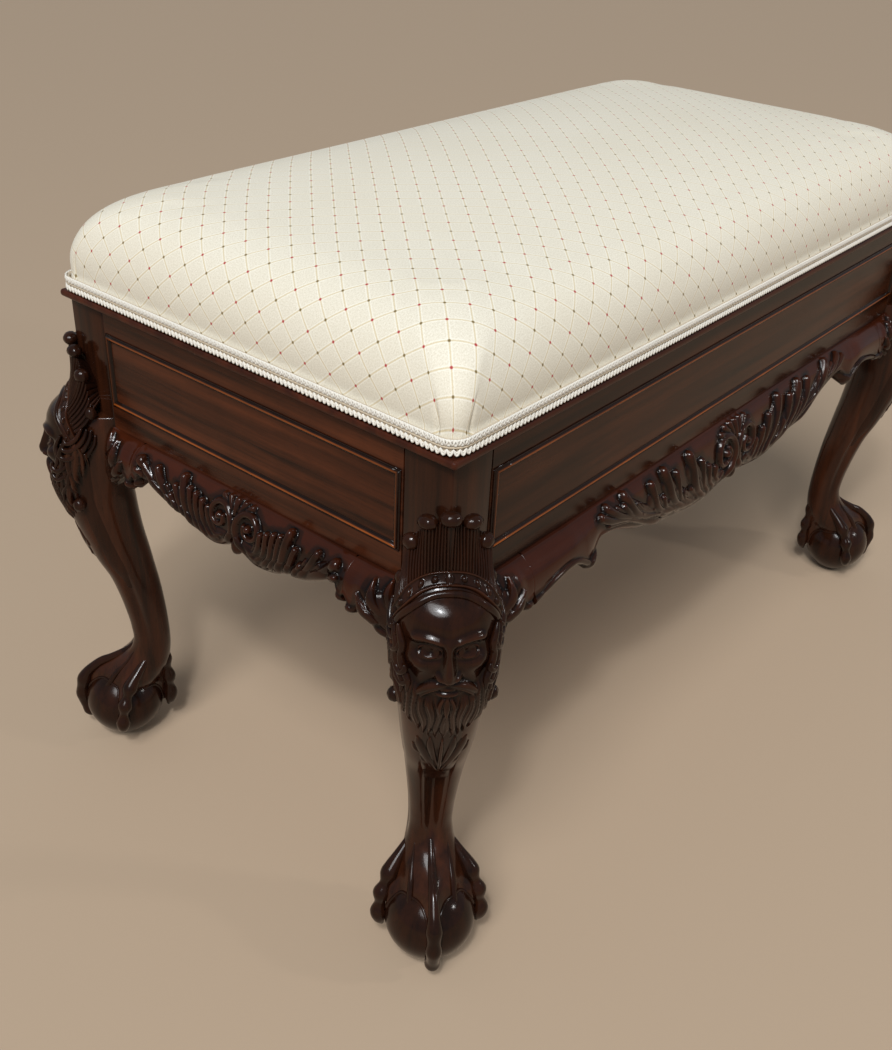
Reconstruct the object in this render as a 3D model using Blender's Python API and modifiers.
"""Upholstered window seat with a lift-up lid on four carved cabriole legs.

Metres, +Z up. The origin is on the floor under the middle of the seat. +X runs along the seat,
the front is at -Y and the lid is hinged along the back, at +Y.
"""
import math

import bmesh
import bpy
import numpy as np
from mathutils import Matrix, Vector

# Driving dimensions of the frame
FRAME_LENGTH = 0.800
FRAME_WIDTH = 0.410
FRAME_TOP = 0.4635
RAIL_HEIGHT = 0.1055
RAIL_THICKNESS = 0.022
POST_SIZE = 0.042
TENON_SHOULDER = 0.007
TENON_WALL = 0.006
CLEARANCE = 0.0003

# Carved leg: the ankle stands behind the ball, and the crest climbs the post
ANKLE_HEIGHT = 0.114
CREST_HEIGHT = 0.073
FOOT_REACH = 0.046
HEAD_REACH = 0.0445
HEAD_HALF_WIDTH = 0.039
ANKLE_HALF_WIDTH = 0.0188
CHISEL_STEP = 0.0005

# Aprons and the knee blocks that carry them into the legs
APRON_PROUD = 0.0165
APRON_INSET = 0.012
APRON_DROP = 0.060
KNEE_BLOCK_LENGTH = 0.040
GLUE_BLOCK_LENGTH = 0.060
GLUE_BLOCK_HEIGHT = 0.018

# Bead round each frieze panel
BEAD_WIDTH = 0.006
BEAD_PROUD = 0.0025
BEAD_END_MARGIN = 0.0017
BEAD_TOP_MARGIN = 0.0195
BEAD_BOTTOM_MARGIN = 0.021

# Floor of the storage well
LEDGER_SIZE = 0.012
BOTTOM_THICKNESS = 0.008

# Lid, stuffed pad and braid
LID_OVERHANG = 0.006
LID_THICKNESS = 0.014
LIP_HEIGHT = 0.006
LIP_ROUND = 0.0024
REBATE = 0.005
BRAID_HEIGHT = 0.011
BRAID_THICKNESS = 0.0035
PAD_SIDE = 0.026
PAD_SHOULDER = 0.045
PAD_CROWN = 0.017
PAD_BULGE = 0.0025
PAD_CORNER = 0.018

# Butt hinges
HINGE_LENGTH = 0.050
HINGE_FROM_END = 0.150
HINGE_OFFSET = 0.001
LEAF_WIDTH = 0.017
LEAF_THICKNESS = 0.0016
KNUCKLE_RADIUS = 0.003
PIN_RADIUS = 0.0012
SCREW_LENGTH = 0.008
SCREW_HEAD_RADIUS = 0.0028
SCREW_HEAD_DEPTH = 0.0013
SCREW_SHANK_RADIUS = 0.0013

# Heights and lengths that follow from them
RAIL_BOTTOM = FRAME_TOP - RAIL_HEIGHT
LID_BOTTOM = FRAME_TOP + CLEARANCE
LID_TOP = LID_BOTTOM + LID_THICKNESS
POST_HALF = POST_SIZE / math.sqrt(2)
TENON_LENGTH = POST_SIZE - (RAIL_THICKNESS - TENON_SHOULDER) - TENON_WALL
HINGE_Y = FRAME_WIDTH / 2 + HINGE_OFFSET
HINGE_Z = FRAME_TOP + CLEARANCE / 2
BRAID_BOTTOM = LID_BOTTOM + LIP_HEIGHT + CLEARANCE
BRAID_TOP = BRAID_BOTTOM + BRAID_HEIGHT

# Points round one section of a leg
LEG_SIDES = 24

# Degrees from a head's nose line: nose, its wing, eye, cheek, temple, hair twice, crease, leg's side, end
FEATURE_PLACES = (0, 8, 16, 25, 35, 47, 61, 77, 95, 115)

# Each face of the frame: turn about Z, length along the face, distance from the middle
SIDES = {
    "front": (0, FRAME_LENGTH, FRAME_WIDTH / 2),
    "right": (90, FRAME_WIDTH, FRAME_LENGTH / 2),
    "back": (180, FRAME_LENGTH, FRAME_WIDTH / 2),
    "left": (270, FRAME_WIDTH, FRAME_LENGTH / 2),
}

# The face that each end of a face meets, first at its -X end and then at its +X end
NEIGHBOURS = {
    "front": ("left", "right"),
    "right": ("front", "back"),
    "back": ("right", "left"),
    "left": ("back", "front"),
}

# Each leg: the signs of its corner in X and Y, and the direction that it faces
LEGS = {
    "leg_front_left": (-1, -1, 225),
    "leg_front_right": (1, -1, 315),
    "leg_back_right": (1, 1, 45),
    "leg_back_left": (-1, 1, 135),
}


def clear_scene():
    for item in list(bpy.data.objects):
        bpy.data.objects.remove(item, do_unlink=True)


def new_collection(name):
    collection = bpy.data.collections.new(name)
    bpy.context.scene.collection.children.link(collection)
    return collection


def make_material(name, colour, roughness, metallic=0.0):
    material = bpy.data.materials.new(name)
    material.use_nodes = True
    shader = material.node_tree.nodes["Principled BSDF"]
    shader.inputs["Base Color"].default_value = (*colour, 1.0)
    shader.inputs["Roughness"].default_value = roughness
    shader.inputs["Metallic"].default_value = metallic
    return material


def mesh_from(bm, name):
    bmesh.ops.recalc_face_normals(bm, faces=bm.faces)
    mesh = bpy.data.meshes.new(name)
    bm.to_mesh(mesh)
    bm.free()
    return mesh


def add_part(name, mesh, material, matrix=None, parent=None):
    """One named piece in the object's collection."""
    part = bpy.data.objects.new(name, mesh)
    PARTS.objects.link(part)
    if not mesh.materials:
        mesh.materials.append(material)
    if parent is not None:
        part.parent = parent
        part.matrix_parent_inverse = parent.matrix_world.inverted()
    if matrix is not None:
        part.matrix_world = matrix
    return part


def add_cutter(name, mesh, matrix=None):
    """A hidden solid that only shapes other pieces."""
    cutter = bpy.data.objects.new(name, mesh)
    CUTTERS.objects.link(cutter)
    cutter.hide_render = True
    cutter.display_type = "WIRE"
    if matrix is not None:
        cutter.matrix_world = matrix
    return cutter


def combine(part, other, operation):
    modifier = part.modifiers.new(other.name, "BOOLEAN")
    modifier.operation = operation
    modifier.solver = "EXACT"
    modifier.object = other


def box_mesh(name, low, high):
    """A box between two corners."""
    low, high = Vector(low), Vector(high)
    bm = bmesh.new()
    size = Matrix.Diagonal((*(high - low), 1.0))
    bmesh.ops.create_cube(bm, size=1.0, matrix=Matrix.Translation((low + high) / 2) @ size)
    return mesh_from(bm, name)


def rod_mesh(name, centre, radius, length, sides):
    """A cylinder that lies along X."""
    bm = bmesh.new()
    turn = Matrix.Translation(centre) @ Matrix.Rotation(math.pi / 2, 4, "Y")
    bmesh.ops.create_cone(bm, cap_ends=True, segments=sides, radius1=radius, radius2=radius,
                          depth=length, matrix=turn)
    return mesh_from(bm, name)


def loft_mesh(name, rings, closed=False):
    """Skin a stack of like-numbered rings, with flat ends or joined back to the first ring."""
    bm = bmesh.new()
    rows = [[bm.verts.new(point) for point in ring] for ring in rings]
    pairs = list(zip(rows, rows[1:] + rows[:1])) if closed else list(zip(rows, rows[1:]))
    for lower, upper in pairs:
        for i in range(len(lower)):
            j = (i + 1) % len(lower)
            bm.faces.new((lower[i], lower[j], upper[j], upper[i]))
    if not closed:
        bm.faces.new(reversed(rows[0]))
        bm.faces.new(rows[-1])
    return mesh_from(bm, name)


def face_matrix(side):
    """Frame of a face: X along it, Y into the seat, Z up from the floor."""
    turn, _, distance = SIDES[side]
    return Matrix.Rotation(math.radians(turn), 4, "Z") @ Matrix.Translation((0, -distance, 0))


def section_ring(height, front, back, half_width, middle, front_power=2, back_power=2, waist=(0, 0),
                 crowd=0, features=(0,) * 9):
    """One level section of a leg, as radii about a middle point on its diagonal.

    Each half is a superellipse: power 1 gives the post's square and power 2 an ellipse.
    waist sinks the surface between the four claws, ahead and behind. crowd draws the corners to
    the front, where features raise or sink the head, in chisel steps at the feature places.
    Beside the knee blocks the section keeps to the width of the post.
    """
    angle = np.arange(LEG_SIDES) * 2 * math.pi / LEG_SIDES
    angle = angle - crowd * np.sin(angle)
    ahead = np.cos(angle) >= 0
    power = np.where(ahead, front_power, back_power)
    depth = np.where(ahead, front - middle, middle - back)
    radius = (np.abs(np.cos(angle) / depth) ** power
              + np.abs(np.sin(angle) / half_width) ** power) ** (-1 / power)
    radius *= 1 - np.where(ahead, *waist) * (1 - (0.5 + 0.5 * np.cos(4 * angle)) ** 2)
    from_front = np.degrees(np.minimum(angle, 2 * math.pi - angle))
    radius += CHISEL_STEP * np.interp(from_front, FEATURE_PLACES, (*features, 0))
    along = middle + radius * np.cos(angle)
    across = radius * np.sin(angle)
    if height > RAIL_BOTTOM - APRON_DROP - CLEARANCE:
        limit = np.maximum(2 * POST_HALF + along, 0)
        across = np.clip(across, -limit, limit)
    return np.column_stack([along, across, np.full(LEG_SIDES, height)])


def leg_mesh():
    """Post, mask, cabriole and ball-and-claw foot in one piece of wood.

    Its X axis is the outward diagonal from the post's outer corner, its Z axis is up.
    """
    reach = FOOT_REACH
    ankle = ANKLE_HALF_WIDTH
    head = HEAD_REACH
    wide = HEAD_HALF_WIDTH
    post = POST_HALF
    deep = 2 * POST_HALF
    # Ball and claws: height, front, back, half width, middle, waist ahead, waist behind
    foot = [
        (0.000, 0.0115, -0.0165, 0.0140, -0.0025, 0.00, 0.00),
        (0.004, 0.0170, -0.0220, 0.0195, -0.0025, 0.00, 0.00),
        (0.011, 0.0270, -0.0320, 0.0295, -0.0025, 0.00, 0.00),
        (0.020, 0.0330, -0.0380, 0.0355, -0.0025, 0.00, 0.00),
        (0.027, 0.77 * reach, -0.0405, 0.0378, -0.0025, 0.00, 0.00),
        (0.031, 0.93 * reach, -0.0485, 0.0465, -0.0025, 0.17, 0.17),
        (0.042, 1.00 * reach, -0.0535, 0.0490, -0.0030, 0.24, 0.24),
        (0.052, 0.92 * reach, -0.0505, 0.0465, -0.0040, 0.28, 0.27),
        (0.061, 0.93 * reach, -0.0530, 0.0462, -0.0060, 0.36, 0.28),
        (0.070, 0.79 * reach, -0.0510, 0.0425, -0.0080, 0.40, 0.22),
        (0.078, 0.73 * reach, -0.0485, 0.0402, -0.0100, 0.44, 0.16),
        (0.084, 0.59 * reach, -0.0490, 0.0375, -0.0130, 0.46, 0.12),
        (0.089, 0.26 * reach, -0.0502, 0.0300, -0.0190, 0.38, 0.08),
        (0.095, -0.003, -0.0512, 0.0235, -0.0260, 0.20, 0.04),
        (0.103, -0.012, -0.0522, 1.06 * ankle, -0.0315, 0.05, 0.01),
    ]
    # Cabriole: share of the way from the ankle to the rail, front, back, half width, middle
    shaft = [
        (0.00, -0.0160, -0.0527, ankle, -0.0343),
        (0.08, -0.0155, -0.0521, 0.985 * ankle, -0.0338),
        (0.17, -0.0118, -0.0503, 1.05 * ankle, -0.0310),
        (0.25, -0.0074, -0.0481, 1.14 * ankle, -0.0277),
        (0.33, -0.0015, -0.0449, 1.23 * ankle, -0.0232),
        (0.41, 0.0080, -0.0418, 1.32 * ankle, -0.0169),
        (0.49, 0.0150, -0.0383, 1.465 * ankle, -0.0117),
        (0.565, 0.0224, -0.0360, 0.756 * wide, -0.0068),
    ]
    # Bearded head from the beard's points to the eyes: the same, then crowding and features
    mask = [
        (0.63, 0.60 * head, -0.0345, 0.79 * wide, -0.003, 0.2, (9, 9, 8, 6, 2, 0, 0, 0, 0)),
        (0.70, 0.69 * head, -0.0335, 0.84 * wide, -0.001, 0.35, (10, 10, 10, 9, 8, 4, 0, -1, -2)),
        (0.76, 0.74 * head, -0.63 * deep, 0.87 * wide, -0.006, 0.5, (9, 8, 9, 10, 10, 8, 3, -3, -4)),
        (0.80, 0.76 * head, -0.72 * deep, 0.90 * wide, -0.40 * post, 0.5, (6, 7, 7, 7, 9, 10, 6, -4, -6)),
        (0.83, 0.765 * head, -0.80 * deep, 0.92 * wide, -0.61 * post, 0.5, (10, 10, 3, 7, 9, 12, 8, -4, -7)),
        (0.86, 0.765 * head, -0.86 * deep, 0.92 * wide, -0.74 * post, 0.5, (19, 6, 4, 9, 8, 12, 10, -4, -8)),
        (0.90, 0.765 * head, -0.95 * deep, 0.92 * wide, -0.91 * post, 0.5, (13, 0, -5, 6, 7, 13, 12, -4, -8)),
        (0.93, 0.765 * head, -0.97 * deep, 0.92 * wide, -0.95 * post, 0.5, (9, -5, -3, -2, 6, 13, 13, -3, -8)),
    ]
    # Brow, forehead, roll and band: height over the rail's lower edge, front, half width, crowding, features
    brow = [
        (-0.010, 0.75 * head, 0.92 * wide, 0.5, (5, 7, 8, 6, 6, 12, 12, -2, -6)),
        (0.004, 0.66 * head, 0.93 * wide, 0.5, (2, 2, 2, 2, 5, 10, 10, 0, -4)),
        (0.015, 0.505 * head, 0.92 * wide, 0.4, (0, 0, 0, 1, 5, 9, 8, 0, -2)),
        (0.023, 0.32 * head, 0.87 * wide, 0.2, (0, 0, 0, 0, 4, 7, 6, 0, 0)),
    ]
    # Crest on the post: height over the rail's lower edge, front, half width, power
    crest = [
        (0.030, 0.27 * head, 1.08 * post, 1.4),
        (0.60 * CREST_HEIGHT, 0.19 * head, 1.04 * post, 1.25),
        (0.82 * CREST_HEIGHT, 0.18 * head, 1.03 * post, 1.25),
        (1.00 * CREST_HEIGHT, 0.22 * head, 1.01 * post, 1.25),
        (1.06 * CREST_HEIGHT, 0.09 * head, post, 1.1),
        (1.08 * CREST_HEIGHT, 0.0, post, 1.0),
        (RAIL_HEIGHT, 0.0, post, 1.0),
    ]
    rings = [section_ring(*level[:5], waist=level[5:]) for level in foot]
    for share, front, back, half, middle in shaft:
        height = ANKLE_HEIGHT + share * (RAIL_BOTTOM - ANKLE_HEIGHT)
        rings.append(section_ring(height, front, back, half, middle))
    for share, front, back, half, middle, crowd, features in mask:
        height = ANKLE_HEIGHT + share * (RAIL_BOTTOM - ANKLE_HEIGHT)
        squareness = min(max((share - 0.76) / 0.14, 0), 1)
        rings.append(section_ring(height, front, back, half, middle, back_power=2 - 0.9 * squareness,
                                  crowd=crowd, features=features))
    for rise, front, half, crowd, features in brow:
        rings.append(section_ring(RAIL_BOTTOM + rise, front, -deep, half, -post, back_power=1,
                                  crowd=crowd, features=features))
    for rise, front, half, power in crest:
        rings.append(section_ring(RAIL_BOTTOM + rise, front, -deep, half, -post, power, 1))
    return loft_mesh("leg", rings)


def build_legs():
    """Four legs turned from one pattern, each mortised for the two rails that it takes."""
    mesh = leg_mesh()
    for name, (x_sign, y_sign, turn) in LEGS.items():
        corner = (x_sign * FRAME_LENGTH / 2, y_sign * FRAME_WIDTH / 2, 0)
        matrix = Matrix.Translation(corner) @ Matrix.Rotation(math.radians(turn), 4, "Z")
        leg = add_part(name, mesh, MAHOGANY, matrix)
        for side, sign in (("front", -1), ("back", 1)):
            if sign == y_sign:
                end = 1 if x_sign * (1 if side == "front" else -1) > 0 else 0
                combine(leg, MORTISES[side, end], "DIFFERENCE")
        for side, sign in (("right", 1), ("left", -1)):
            if sign == x_sign:
                end = 1 if y_sign * (1 if side == "right" else -1) > 0 else 0
                combine(leg, MORTISES[side, end], "DIFFERENCE")


def rail_mesh(half_length):
    """A rail between shoulders, with a tenon set in from all four sides of each end."""
    bm = bmesh.new()
    low = Vector((-half_length, 0, RAIL_BOTTOM))
    high = Vector((half_length, RAIL_THICKNESS, FRAME_TOP))
    size = Matrix.Diagonal((*(high - low), 1.0))
    bmesh.ops.create_cube(bm, size=1.0, matrix=Matrix.Translation((low + high) / 2) @ size)
    bm.faces.ensure_lookup_table()
    for sign in (-1, 1):
        end = max(bm.faces, key=lambda face: sign * face.calc_center_median().x)
        bmesh.ops.inset_region(bm, faces=[end], thickness=TENON_SHOULDER, use_even_offset=True)
        grown = bmesh.ops.extrude_face_region(bm, geom=[end])
        bmesh.ops.delete(bm, geom=[end], context="FACES")
        tip = [item for item in grown["geom"] if isinstance(item, bmesh.types.BMVert)]
        bmesh.ops.translate(bm, verts=tip, vec=(sign * TENON_LENGTH, 0, 0))
    return mesh_from(bm, "rail")


def build_rails():
    """Four frieze rails, flush with the posts, and the mortise that each tenon needs."""
    rails = {}
    for side, (_, length, _) in SIDES.items():
        half = length / 2 - POST_SIZE - CLEARANCE
        rails[side] = add_part("rail_" + side, rail_mesh(half), MAHOGANY, face_matrix(side))
        for end, sign in enumerate((-1, 1)):
            reach = half + TENON_LENGTH + CLEARANCE
            inner = half - CLEARANCE
            low = (min(sign * reach, sign * inner), TENON_SHOULDER - CLEARANCE,
                   RAIL_BOTTOM + TENON_SHOULDER - CLEARANCE)
            high = (max(sign * reach, sign * inner), RAIL_THICKNESS - TENON_SHOULDER + CLEARANCE,
                    FRAME_TOP - TENON_SHOULDER + CLEARANCE)
            name = "mortise_%s_%d" % (side, end)
            MORTISES[side, end] = add_cutter(name, box_mesh(name, low, high), face_matrix(side))
    return rails


def build_beads():
    """Four mitred lengths of half-round bead planted round each frieze panel."""
    profile = [(0.0, 0.0), (0.0, 0.4), (0.2, 0.85), (0.5, 1.0), (0.8, 0.85), (1.0, 0.4), (1.0, 0.0)]
    for side, (_, length, _) in SIDES.items():
        half = length / 2 - POST_SIZE - BEAD_END_MARGIN
        low = RAIL_BOTTOM + BEAD_BOTTOM_MARGIN
        high = FRAME_TOP - BEAD_TOP_MARGIN
        corners = [(-half, low), (half, low), (half, high), (-half, high)]
        inward = [(1, 1), (-1, 1), (-1, -1), (1, -1)]
        for i, place in enumerate(("lower", "right", "upper", "left")):
            rings = []
            way = 1 if i < 2 else -1
            for k, trim in ((i, way), ((i + 1) % 4, -way)):
                ring = []
                for across, out in profile:
                    step = across * BEAD_WIDTH
                    x = corners[k][0] + inward[k][0] * step
                    z = corners[k][1] + inward[k][1] * step
                    if i % 2 == 0:
                        x += trim * CLEARANCE / 2
                    else:
                        z += trim * CLEARANCE / 2
                    ring.append((x, -CLEARANCE - out * BEAD_PROUD, z))
                rings.append(ring)
            name = "bead_%s_%s" % (side, place)
            add_part(name, loft_mesh(name, rings), MAHOGANY, face_matrix(side))


def wave(share, knots):
    """A smooth line through knots of share and drop, level at each knot."""
    shares = [knot[0] for knot in knots]
    drops = [knot[1] for knot in knots]
    i = min(max(int(np.searchsorted(shares, share)) - 1, 0), len(knots) - 2)
    part = (share - shares[i]) / (shares[i + 1] - shares[i])
    part = min(max(part, 0.0), 1.0)
    return drops[i] + (drops[i + 1] - drops[i]) * part * part * (3 - 2 * part)


def apron_section(x, drop):
    """Section of an apron at x: flat top and back, swelling face, rounded lower edge."""
    top = RAIL_BOTTOM - CLEARANCE
    face = [(0.10, 0.00), (0.50, 0.12), (0.85, 0.36), (1.00, 0.74), (0.94, 0.93), (0.66, 1.00)]
    ring = [(x, APRON_INSET, top)]
    ring += [(x, -out * APRON_PROUD, top - down * drop) for out, down in face]
    ring.append((x, APRON_INSET, top - drop))
    return ring


def build_aprons():
    """Shaped aprons glued under the rails, with a knee block at each end and a glue block behind."""
    long_knots = [(0.0, 0.87), (0.195, 1.0), (0.425, 0.82), (0.686, 0.37), (0.765, 0.67),
                  (0.89, 0.45), (0.97, 0.68), (1.0, 0.60)]
    short_knots = [(0.0, 0.62), (0.212, 0.73), (0.57, 0.55), (0.905, 0.33), (0.97, 0.53), (1.0, 0.48)]
    block_knots = [(0.0, 0.92), (0.4, 0.60), (0.6, 0.47), (0.85, 0.62), (1.0, 0.55)]
    steps = 3
    for side, (_, length, _) in SIDES.items():
        knots = long_knots if side in ("front", "back") else short_knots
        block_end = length / 2 - POST_SIZE - CLEARANCE
        block_start = block_end - KNEE_BLOCK_LENGTH
        half = block_start - CLEARANCE
        shares = [a + (b - a) * k / steps for (a, _), (b, _) in zip(knots, knots[1:]) for k in range(steps)]
        shares.append(1.0)
        shares = [-share for share in reversed(shares[1:])] + shares
        rings = [apron_section(share * half, wave(abs(share), knots) * APRON_DROP) for share in shares]
        add_part("apron_" + side, loft_mesh("apron_" + side, rings), MAHOGANY, face_matrix(side))
        for end, sign in zip(NEIGHBOURS[side], (-1, 1)):
            rings = []
            for k in range(9):
                share = k / 8
                x = sign * (block_end - share * KNEE_BLOCK_LENGTH)
                rings.append(apron_section(x, wave(share, block_knots) * APRON_DROP))
            name = "knee_block_%s_%s" % (side, end)
            add_part(name, loft_mesh(name, rings), MAHOGANY, face_matrix(side))
        name = "glue_block_" + side
        top = RAIL_BOTTOM - CLEARANCE
        low = (-GLUE_BLOCK_LENGTH / 2, APRON_INSET + CLEARANCE, top - GLUE_BLOCK_HEIGHT)
        high = (GLUE_BLOCK_LENGTH / 2, RAIL_THICKNESS, top)
        add_part(name, box_mesh(name, low, high), PINE, face_matrix(side))


def build_well():
    """Bottom board of the storage well, notched round the posts, on a ledger along each long rail."""
    for side in ("front", "back"):
        half = FRAME_LENGTH / 2 - POST_SIZE - CLEARANCE
        inner = RAIL_THICKNESS + CLEARANCE
        low = (-half, inner, RAIL_BOTTOM)
        high = (half, inner + LEDGER_SIZE, RAIL_BOTTOM + LEDGER_SIZE)
        name = "ledger_" + side
        add_part(name, box_mesh(name, low, high), PINE, face_matrix(side))
    x = FRAME_LENGTH / 2 - RAIL_THICKNESS - CLEARANCE
    y = FRAME_WIDTH / 2 - RAIL_THICKNESS - CLEARANCE
    notch = POST_SIZE - RAIL_THICKNESS
    quarter = [(x, y - notch), (x - notch, y - notch), (x - notch, y)]
    outline = []
    for x_sign, y_sign in ((1, 1), (-1, 1), (-1, -1), (1, -1)):
        points = [(x_sign * px, y_sign * py) for px, py in quarter]
        outline += points if x_sign * y_sign > 0 else points[::-1]
    curve = bpy.data.curves.new("bottom_board", "CURVE")
    curve.dimensions = "2D"
    curve.fill_mode = "BOTH"
    curve.extrude = BOTTOM_THICKNESS / 2
    spline = curve.splines.new("POLY")
    spline.points.add(len(outline) - 1)
    for point, (px, py) in zip(spline.points, outline):
        point.co = (px, py, 0, 1)
    spline.use_cyclic_u = True
    height = RAIL_BOTTOM + LEDGER_SIZE + CLEARANCE + BOTTOM_THICKNESS / 2
    add_part("bottom_board", curve, PINE, Matrix.Translation((0, 0, height)))


def lid_mesh():
    """Lid board with a rounded lip all round and a rebate above it for the cover and braid."""
    bm = bmesh.new()
    x = FRAME_LENGTH / 2 + LID_OVERHANG
    y = FRAME_WIDTH / 2 + LID_OVERHANG
    size = Matrix.Diagonal((2 * x, 2 * y, LIP_HEIGHT, 1.0))
    middle = Matrix.Translation((0, 0, LID_BOTTOM + LIP_HEIGHT / 2))
    bmesh.ops.create_cube(bm, size=1.0, matrix=middle @ size)
    bmesh.ops.bevel(bm, geom=bm.edges[:], offset=LIP_ROUND, segments=3, profile=0.5, affect="EDGES")
    top = max(bm.faces, key=lambda face: face.calc_center_median().z)
    bmesh.ops.inset_region(bm, faces=[top], thickness=REBATE - LIP_ROUND, use_even_offset=True)
    grown = bmesh.ops.extrude_face_region(bm, geom=[top])
    bmesh.ops.delete(bm, geom=[top], context="FACES")
    raised = [item for item in grown["geom"] if isinstance(item, bmesh.types.BMVert)]
    bmesh.ops.translate(bm, verts=raised, vec=(0, 0, LID_THICKNESS - LIP_HEIGHT))
    return mesh_from(bm, "lid_board")


def outline_ring(inset, corner, height, turns=6, steps=(1, 1)):
    """A rounded rectangle, set in from the lid's rebated edge, with steps along its straight sides."""
    x = FRAME_LENGTH / 2 + LID_OVERHANG - REBATE - inset
    y = FRAME_WIDTH / 2 + LID_OVERHANG - REBATE - inset
    ring = []
    for quarter, (x_sign, y_sign) in enumerate(((1, 1), (-1, 1), (-1, -1), (1, -1))):
        for k in range(turns + 1):
            angle = (quarter + k / turns) * math.pi / 2
            ring.append(Vector((x_sign * (x - corner) + corner * math.cos(angle),
                                y_sign * (y - corner) + corner * math.sin(angle), height)))
        mirrored = (-x_sign, y_sign) if quarter % 2 == 0 else (x_sign, -y_sign)
        angle = (quarter + 1) * math.pi / 2
        end = Vector((mirrored[0] * (x - corner) + corner * math.cos(angle),
                      mirrored[1] * (y - corner) + corner * math.sin(angle), height))
        start = ring[-1]
        count = steps[quarter % 2]
        ring += [start.lerp(end, k / count) for k in range(1, count)]
    return ring


def pad_mesh():
    """Stuffed pad: sides drawn in behind the braid, a round shoulder and a crowned top."""
    base = LID_TOP + CLEARANCE
    levels = [(0.0, 0.0, PAD_CORNER), (BRAID_TOP + CLEARANCE - base, 0.0, PAD_CORNER),
              (0.55 * PAD_SIDE, -0.8 * PAD_BULGE, PAD_CORNER), (PAD_SIDE, -PAD_BULGE, PAD_CORNER)]
    for k in range(1, 7):
        angle = k / 6 * 0.92 * math.pi / 2
        inset = PAD_SHOULDER * (1 - math.cos(angle))
        levels.append((PAD_SIDE + PAD_SHOULDER * math.sin(angle), inset - PAD_BULGE, PAD_CORNER + 0.5 * inset))
    reach = FRAME_WIDTH / 2 + LID_OVERHANG - REBATE - levels[-1][2]
    for share in (0.3, 0.55, 0.8, 0.98):
        inset = levels[9][1] + share * (reach - levels[9][1])
        levels.append((PAD_SIDE + PAD_SHOULDER, inset, levels[9][2]))
    half_x = FRAME_LENGTH / 2 + LID_OVERHANG
    half_y = FRAME_WIDTH / 2 + LID_OVERHANG
    rings = []
    for number, (rise, inset, corner) in enumerate(levels):
        ring = outline_ring(inset, corner, base + rise, steps=(8, 4))
        if number > 4:
            for point in ring:
                dome = (1 - abs(point.x / half_x) ** 2.4) * (1 - abs(point.y / half_y) ** 2.4)
                point.z += PAD_CROWN * math.sqrt(max(dome, 0)) * min((number - 4) / 4, 1)
        rings.append(ring)
    return loft_mesh("seat_pad", rings)


def braid_mesh():
    """Braid glued round the rebated edge, standing on the lip."""
    corner = BRAID_THICKNESS
    outer = -CLEARANCE - BRAID_THICKNESS
    rings = [
        outline_ring(-CLEARANCE, CLEARANCE, BRAID_BOTTOM),
        outline_ring(0.6 * outer, corner, BRAID_BOTTOM),
        outline_ring(outer, corner, BRAID_BOTTOM + 0.3 * BRAID_HEIGHT),
        outline_ring(outer, corner, BRAID_TOP - 0.3 * BRAID_HEIGHT),
        outline_ring(0.6 * outer, corner, BRAID_TOP),
        outline_ring(-CLEARANCE, CLEARANCE, BRAID_TOP),
    ]
    return loft_mesh("gimp_braid", rings, closed=True)


def build_lid():
    """Hinged lid: board, pad and braid, carried by an empty on the hinge axis."""
    axis = bpy.data.objects.new("lid_axis", None)
    PARTS.objects.link(axis)
    axis.location = (0, HINGE_Y, HINGE_Z)
    bpy.context.view_layer.update()
    board = add_part("lid_board", lid_mesh(), MAHOGANY, Matrix.Identity(4), axis)
    add_part("seat_pad", pad_mesh(), FABRIC, Matrix.Identity(4), axis)
    add_part("gimp_braid", braid_mesh(), BRAID, Matrix.Identity(4), axis)
    return axis, board


def screw_mesh():
    """A countersunk screw turned from its half section, with its head's face at z = 0."""
    profile = [(0.0, 0.0), (SCREW_HEAD_RADIUS, 0.0), (SCREW_SHANK_RADIUS, -SCREW_HEAD_DEPTH),
               (SCREW_SHANK_RADIUS, -0.8 * SCREW_LENGTH), (0.0, -SCREW_LENGTH)]
    mesh = bpy.data.meshes.new("screw")
    mesh.from_pydata([(x, 0, z) for x, z in profile], [(i, i + 1) for i in range(4)], [])
    return mesh


def turn_profile(part, steps=10):
    modifier = part.modifiers.new("turned", "SCREW")
    modifier.axis = "Z"
    modifier.steps = steps
    modifier.render_steps = steps
    modifier.use_merge_vertices = True
    modifier.merge_threshold = 0.00005


def screw_hole_mesh(name):
    """The room that a screw needs: a straight hole under a countersink."""
    wide = SCREW_HEAD_RADIUS + CLEARANCE
    narrow = SCREW_SHANK_RADIUS + CLEARANCE
    levels = ((CLEARANCE, wide), (-CLEARANCE, wide), (-SCREW_HEAD_DEPTH - CLEARANCE, narrow),
              (-SCREW_LENGTH - CLEARANCE, narrow))
    rings = []
    for height, radius in reversed(levels):
        angles = [k * 2 * math.pi / 10 for k in range(10)]
        rings.append([(radius * math.cos(a), radius * math.sin(a), height) for a in angles])
    return loft_mesh(name, rings)


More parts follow.
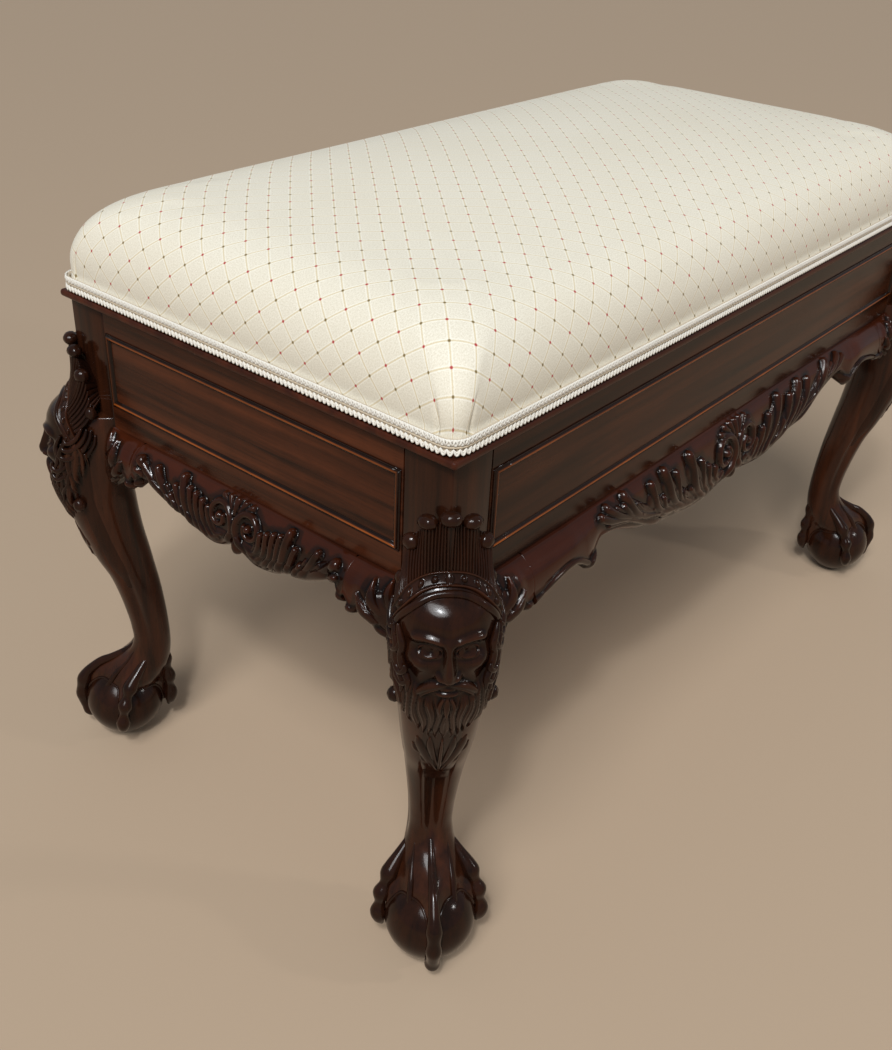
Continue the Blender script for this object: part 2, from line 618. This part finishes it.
def build_hinge(name, x, axis, rail, board):
    """A three-knuckle butt hinge let into the back rail and the lid, with its pin and screws."""
    third = HINGE_LENGTH / 3
    run = KNUCKLE_RADIUS + CLEARANCE
    room = box_mesh(name + "_room", (x - HINGE_LENGTH / 2 - CLEARANCE, HINGE_Y - LEAF_WIDTH - CLEARANCE,
                                     HINGE_Z - CLEARANCE / 2 - LEAF_THICKNESS - CLEARANCE),
                    (x + HINGE_LENGTH / 2 + CLEARANCE, HINGE_Y,
                     HINGE_Z + CLEARANCE / 2 + LEAF_THICKNESS + CLEARANCE))
    recess = add_cutter(name + "_room", room)
    barrel = add_cutter(name + "_barrel_room",
                        rod_mesh(name + "_barrel_room", (x, HINGE_Y, HINGE_Z), run + CLEARANCE,
                                 HINGE_LENGTH + 2 * CLEARANCE, 16))
    for wood in (rail, board):
        combine(wood, recess, "DIFFERENCE")
        combine(wood, barrel, "DIFFERENCE")
    bore = add_cutter(name + "_bore", rod_mesh(name + "_bore", (x, HINGE_Y, HINGE_Z),
                                               PIN_RADIUS + CLEARANCE / 2, 2 * HINGE_LENGTH, 12))
    pin = rod_mesh(name + "_pin", (x, HINGE_Y, HINGE_Z), PIN_RADIUS, HINGE_LENGTH, 12)
    add_part(name + "_pin", pin, BRASS)
    for leaf_name, up, knuckles, wood, parent in (("rail_leaf", -1, (-1, 1), rail, None),
                                                  ("lid_leaf", 1, (0,), board, axis)):
        near = HINGE_Z + up * CLEARANCE / 2
        far = near + up * LEAF_THICKNESS
        back = HINGE_Y - run - CLEARANCE
        plate = box_mesh(name + "_" + leaf_name,
                         (x - HINGE_LENGTH / 2, HINGE_Y - LEAF_WIDTH, min(near, far)),
                         (x + HINGE_LENGTH / 2, back, max(near, far)))
        leaf = add_part(name + "_" + leaf_name, plate, BRASS, Matrix.Identity(4), parent)
        for k in knuckles:
            centre = x + k * third
            half = third / 2 - CLEARANCE / 2
            tag = "%s_%s_%d" % (name, leaf_name, k + 1)
            tab = add_cutter(tag + "_tab", box_mesh(tag + "_tab", (centre - half, back - 0.001, min(near, far)),
                                                    (centre + half, HINGE_Y, max(near, far))))
            knuckle = add_cutter(tag + "_knuckle", rod_mesh(tag + "_knuckle", (centre, HINGE_Y, HINGE_Z),
                                                            KNUCKLE_RADIUS, 2 * half, 16))
            combine(leaf, tab, "UNION")
            combine(leaf, knuckle, "UNION")
        combine(leaf, bore, "DIFFERENCE")
        for number, sign in ((1, -1), (2, 1)):
            place = Matrix.Translation((x + sign * third, HINGE_Y - 0.62 * LEAF_WIDTH, near))
            if up > 0:
                place = place @ Matrix.Rotation(math.pi, 4, "X")
            tag = "%s_%s_screw_%d" % (name, leaf_name, number)
            hole = add_cutter(tag + "_hole", screw_hole_mesh(tag + "_hole"), place)
            combine(leaf, hole, "DIFFERENCE")
            combine(wood, hole, "DIFFERENCE")
            turn_profile(add_part(tag, screw_mesh(), BRASS, place, parent))


clear_scene()
PARTS = new_collection("window_seat")
CUTTERS = new_collection("window_seat_cutters")
MORTISES = {}
MAHOGANY = make_material("polished_mahogany", (0.055, 0.017, 0.009), 0.25)
PINE = make_material("pine", (0.45, 0.30, 0.16), 0.6)
FABRIC = make_material("cream_trellis_fabric", (0.80, 0.75, 0.60), 0.85)
BRAID = make_material("ivory_braid", (0.83, 0.80, 0.70), 0.8)
BRASS = make_material("brass", (0.62, 0.44, 0.18), 0.35, 1.0)

frame_rails = build_rails()
build_legs()
build_beads()
build_aprons()
build_well()
lid_axis, lid_board = build_lid()
for hinge_name, hinge_sign in (("hinge_left", -1), ("hinge_right", 1)):
    hinge_x = hinge_sign * (FRAME_LENGTH / 2 - HINGE_FROM_END)
    build_hinge(hinge_name, hinge_x, lid_axis, frame_rails["back"], lid_board)
bpy.context.view_layer.update()
